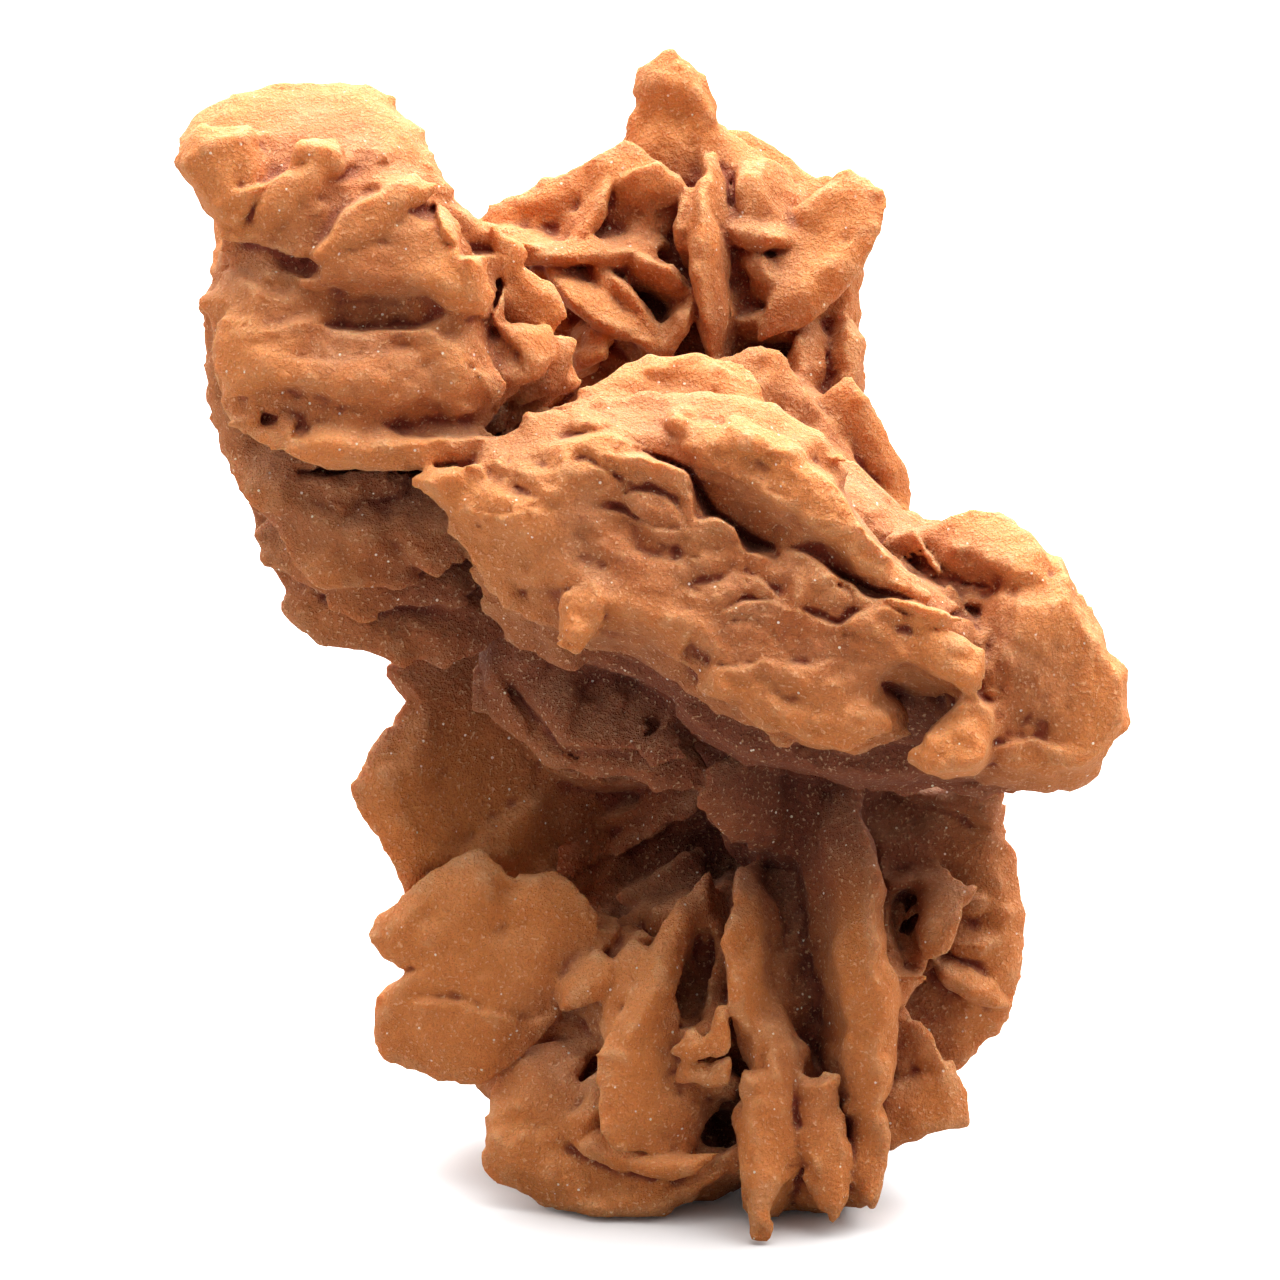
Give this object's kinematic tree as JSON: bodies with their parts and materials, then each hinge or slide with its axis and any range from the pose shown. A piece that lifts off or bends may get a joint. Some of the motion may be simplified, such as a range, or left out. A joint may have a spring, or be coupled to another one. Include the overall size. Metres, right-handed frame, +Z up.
{
  "type": "gypsum crystal cluster",
  "caption": "Desert rose gypsum cluster: a stack of leaning plates, a thick bar, a crown of blades and a rosette base grown into one sandy orange-brown stone.",
  "frame": {"origin": "middle of the bounding box, on the surface the cluster rests on", "axes": "+Z up, -Y towards the broad face that the picture shows, +X to the right of that face; the broad face leans back by 20 degrees"},
  "size_m": [0.0472, 0.036, 0.0536],
  "materials": {
    "sandy_gypsum": "matt, sandy, slightly translucent at thin rims"
  },
  "bodies": {
    "root": {"gypsum_crystal_cluster": "sandy_gypsum"}
  },
  "joints": []
}
